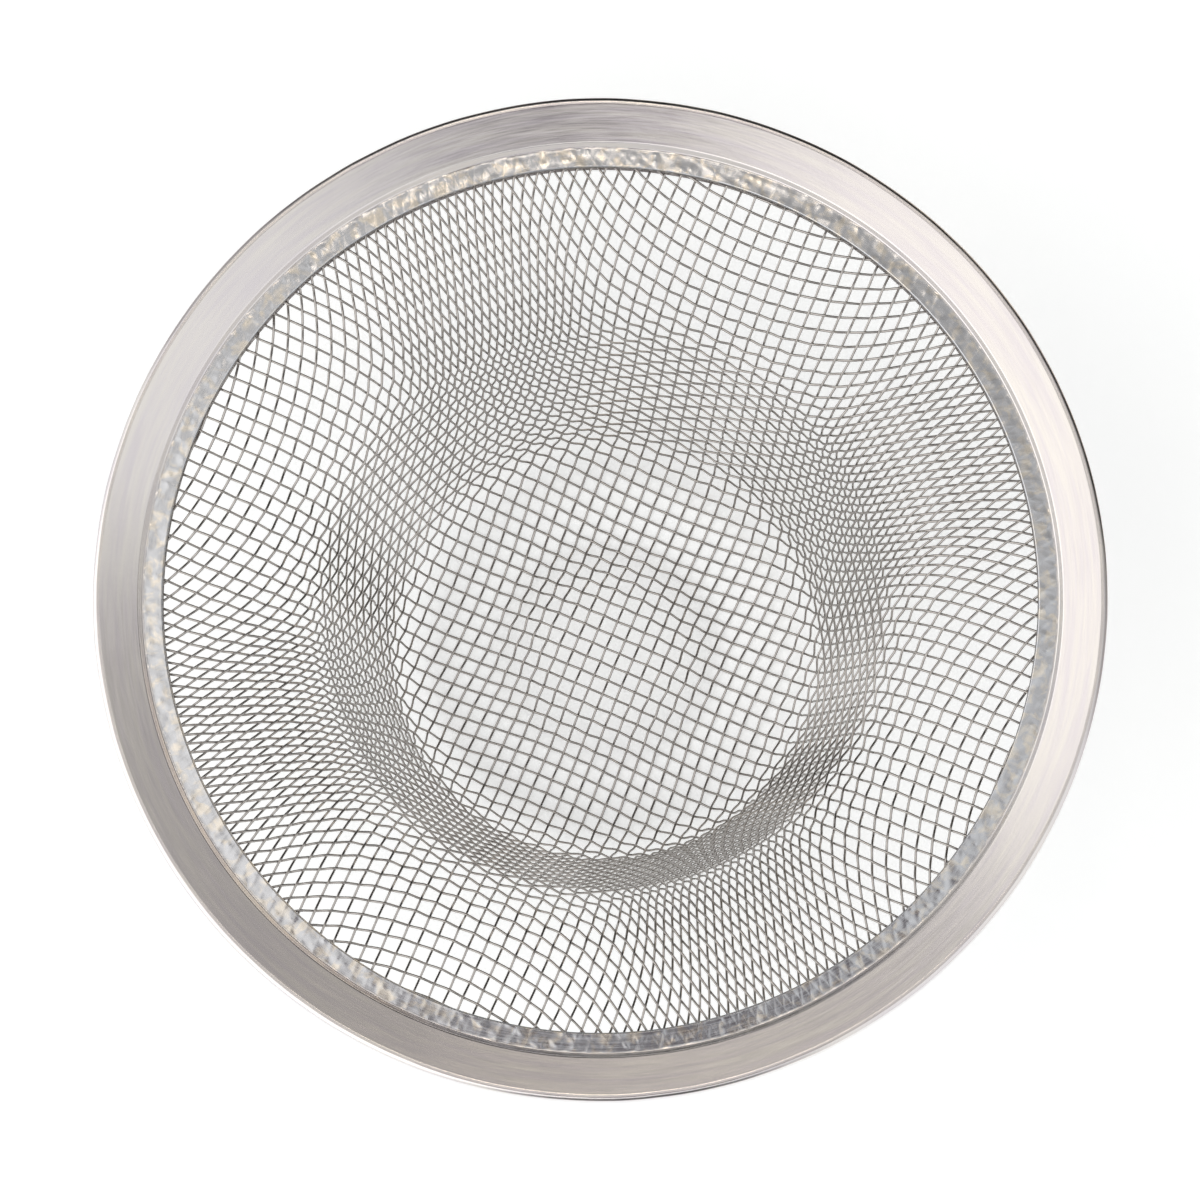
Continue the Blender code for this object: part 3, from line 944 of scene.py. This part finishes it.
def sheet_finish():
    """Satin cold-rolled stainless: a soft grey glow that runs across marks round the ring."""
    material, tree, shader = new_material("satin_cold_rolled_stainless")
    shader.inputs["Metallic"].default_value = 1.0
    shader.inputs["Anisotropic"].default_value = SHEET_STRETCH
    shader.inputs["Anisotropic Rotation"].default_value = QUARTER_TURN
    tangent = add_node(tree, "ShaderNodeTangent", direction_type="RADIAL", axis="Z")
    tree.links.new(tangent.outputs["Tangent"], shader.inputs["Tangent"])

    spot = add_node(tree, "ShaderNodeTexCoord").outputs["Object"]
    marks = along_the_ring(tree, spot, MARK_WIDTH, MARK_LENGTH)
    streaks = along_the_ring(tree, spot, STREAK_WIDTH, STREAK_LENGTH)
    grain = cloudy(tree, spot, GRAIN_SIZE, 4.0)
    # The land's cream patches are partly painted glints of the warm lamp, mixed into its colour.
    blotches_and_glints = cloudy(tree, spot, BLOTCH_AND_GLINT_SIZE, 3.0, BLOTCH_AND_GLINT_BEND)
    on_land = add_node(tree, "ShaderNodeAttribute", attribute_name="land_share").outputs["Fac"]

    # Colour: warm and cool streaks on the band; on the land cream and blue-grey patches, partly
    # painted glints.
    band = tinted(tree, mapped(tree, streaks, STREAK_SPREAD), *map(linear, BAND_TONES))
    land = tinted(tree, mapped(tree, blotches_and_glints, BLOTCH_AND_GLINT_SPREAD), *map(linear, LAND_TONES_AND_GLINTS))
    shade = mapped(tree, marks, MARK_SPREAD, SHEET_SHADE)
    colour = scaled(tree, tinted(tree, on_land, band, land), shade)
    tree.links.new(colour, shader.inputs["Base Color"])
    dull = mapped(tree, marks, MARK_SPREAD, SHEET_ROUGHNESS)
    tree.links.new(dull, shader.inputs["Roughness"])

    # Relief in metres: fine marks everywhere, ridges over the wires and small cells on the land.
    worn = maths(tree, "MULTIPLY", maths(tree, "ADD", marks, grain), MARK_DEPTH)
    numbers = add_node(tree, "ShaderNodeAttribute", attribute_name="wire_numbers")
    ridge = net_ridges(tree, numbers.outputs["Vector"], RIDGE_WIDTH / WIRE_PITCH)
    raised = maths(tree, "MULTIPLY", ridge, RIDGE_HEIGHT)
    cells = add_node(tree, "ShaderNodeTexVoronoi", {"Vector": spot, "Scale": 1 / CELL_SIZE},
                     feature="SMOOTH_F1")
    dimpled = maths(tree, "MULTIPLY", cells.outputs["Distance"], -CELL_DEPTH)
    pressed = maths(tree, "MULTIPLY", maths(tree, "ADD", raised, dimpled), on_land)
    bump = add_node(tree, "ShaderNodeBump", {
        "Height": maths(tree, "ADD", worn, pressed), "Strength": 1.0, "Distance": 1.0,
    })
    tree.links.new(bump.outputs["Normal"], shader.inputs["Normal"])
    return material


sheet_metal = sheet_finish()

# %% Mark the ring and put it in place
net_under_land = flat_net(
    "net_under_land", OPENING_RADIUS - 2 * WIRE_PITCH, land_end + 3 * WIRE_PITCH
)
use_tree(ring, marks_tree(), {
    "Net": net_under_land,
    "Ridge Height": RIDGE_HEIGHT,
    "Ridge Width In Cells": RIDGE_WIDTH / WIRE_PITCH,
    "Land Inner Radius": land_end - LAND_FADE,
    "Land Outer Radius": land_end,
    "Land Height": land_low,
    "Wander": WANDER,
    "Wander Scale": RIM_RADIUS / WANDER_LENGTH,
    "Lip Radius": RIM_RADIUS,
    "Material": sheet_metal,
})
settle(ring)
bpy.data.objects.remove(net_under_land)
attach(ring, "root")
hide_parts("rim_ring")

# %% [markdown]
# ## Table and light
#
# Bare metal has hardly a colour of its own: it shows what stands around it. So the lights
# are chosen by what each facet mirrors. A large soft box in the south-west lights the left
# side of the wires and the lip at the lower left, and a small warm lamp, almost overhead,
# makes the cream glints on the land and on the upper lip. The table is white paper.

# %% White table
TABLE_SIZE = 3.0
TABLE_WHITE = "#F4F7F8"
TABLE_GLOW = 0.37


def table_finish():
    """White paper: it keeps the shadow, and its white also shows to the lens and in metal."""
    material, tree, shader = new_material("white_paper_table")
    shader.inputs["Base Color"].default_value = linear(TABLE_WHITE)
    shader.inputs["Roughness"].default_value = 0.9
    shader.inputs["Specular IOR Level"].default_value = 0.0
    path = add_node(tree, "ShaderNodeLightPath").outputs
    seen = maths(tree, "MAXIMUM", path["Is Camera Ray"], path["Is Glossy Ray"])
    shader.inputs["Emission Color"].default_value = (1.0, 1.0, 1.0, 1.0)
    tree.links.new(maths(tree, "MULTIPLY", seen, TABLE_GLOW), shader.inputs["Emission Strength"])
    return material


table_mesh = bpy.data.meshes.new("table")
half_table = TABLE_SIZE / 2
table_mesh.from_pydata(
    [(-half_table, -half_table, 0), (half_table, -half_table, 0), (half_table, half_table, 0),
     (-half_table, half_table, 0)], [], [(0, 1, 2, 3)])
table_mesh.materials.append(table_finish())
table = bpy.data.objects.new("table", table_mesh)
table.location.z = cad_low.z
bpy.context.scene.collection.objects.link(table)

# %% Lamps
def soft_box(name, azimuth, elevation, distance, size, tint, brightness):
    """A square lamp that faces the strainer. Its brightness is what polished metal shows."""
    lamp = bpy.data.lights.new(name, "AREA")
    lamp.shape = "SQUARE"
    lamp.size = size
    lamp.color = linear(tint)[:3]
    lamp.energy = brightness * pi * size ** 2
    holder = bpy.data.objects.new(name, lamp)
    away = Vector((
        cos(elevation) * cos(azimuth), cos(elevation) * sin(azimuth), sin(elevation)
    ))
    holder.location = away * distance
    holder.rotation_euler = away.to_track_quat("Z", "Y").to_euler()
    bpy.context.scene.collection.objects.link(holder)


soft_box("main_softbox", azimuth=radians(205), elevation=radians(50), distance=1.0, size=1.30,
         tint="#FFFAF5", brightness=0.55)
soft_box("warm_lamp", azimuth=radians(95), elevation=radians(74), distance=1.2, size=0.13,
         tint="#FFF0DE", brightness=3.0)

# %% [markdown]
# ## The room
#
# What a near-flat piece of metal shows is the part of the room right above it, and what a
# wire shows is a whole arc of the room. Here a bright room ends at a line just beside the
# zenith. Past that line the band turns from white to grey, and further out a dark doorway
# makes one slope of each wire nearly black and leaves the other slope pale. A picture of a
# real room could be wrapped round the scene, but a few soft round spots, laid over each
# other, say the same, and each can be moved on its own.

# %% Surroundings
def room_spot(tree, azimuth, off_zenith, full, end):
    """1 where the room is seen within the full angle of a direction, 0 past the end angle."""
    middle = (sin(off_zenith) * cos(azimuth), sin(off_zenith) * sin(azimuth), cos(off_zenith))
    looking = add_node(tree, "ShaderNodeTexCoord")
    near = add_node(tree, "ShaderNodeVectorMath", {0: looking.outputs["Generated"], 1: middle},
                    operation="DOT_PRODUCT")
    return mapped(tree, near.outputs["Value"], (cos(end), cos(full)), smooth=True)


# Each part of the room: azimuth, angle off the zenith, the radius within which it has its
# full colour, the radius past which it is gone, and its colour. Later ones lie over earlier.
WHITE_WALLS = "#FFFFFF"
ROOM_PARTS = {
    "dim_north_east": (68, 90, 74, 80, "#B0AEAC"),
    "dark_doorway": (68, 90, 58, 64, "#141414"),
    "ceiling_above": (130, 9, 11, 20, "#D0CECC"),
    "the_camera": (263, 4, 4.0, 9.5, "#42343E"),
    "dark_in_front": (275, 48, 8, 20, "#505050"),
    "pale_floor": (0, 180, 100, 112, "#E0DEDC"),
    "far_wall": (45, 95, 26, 34, "#FFF4E6"),
}


def room_around():
    """The world that the metal mirrors, built up from its parts."""
    world = bpy.data.worlds.new("room_around")
    world.use_nodes = True
    tree = world.node_tree
    tree.nodes.clear()
    colour = linear(WHITE_WALLS)
    for *angles, shade in ROOM_PARTS.values():
        share = room_spot(tree, *map(radians, angles))
        colour = tinted(tree, share, colour, linear(shade))
    room = add_node(tree, "ShaderNodeBackground", {"Color": colour, "Strength": 1.0})
    add_node(tree, "ShaderNodeOutputWorld", {"Surface": room.outputs["Background"]})
    return world


bpy.context.scene.world = room_around()
bpy.context.scene.view_settings.view_transform = "Standard"
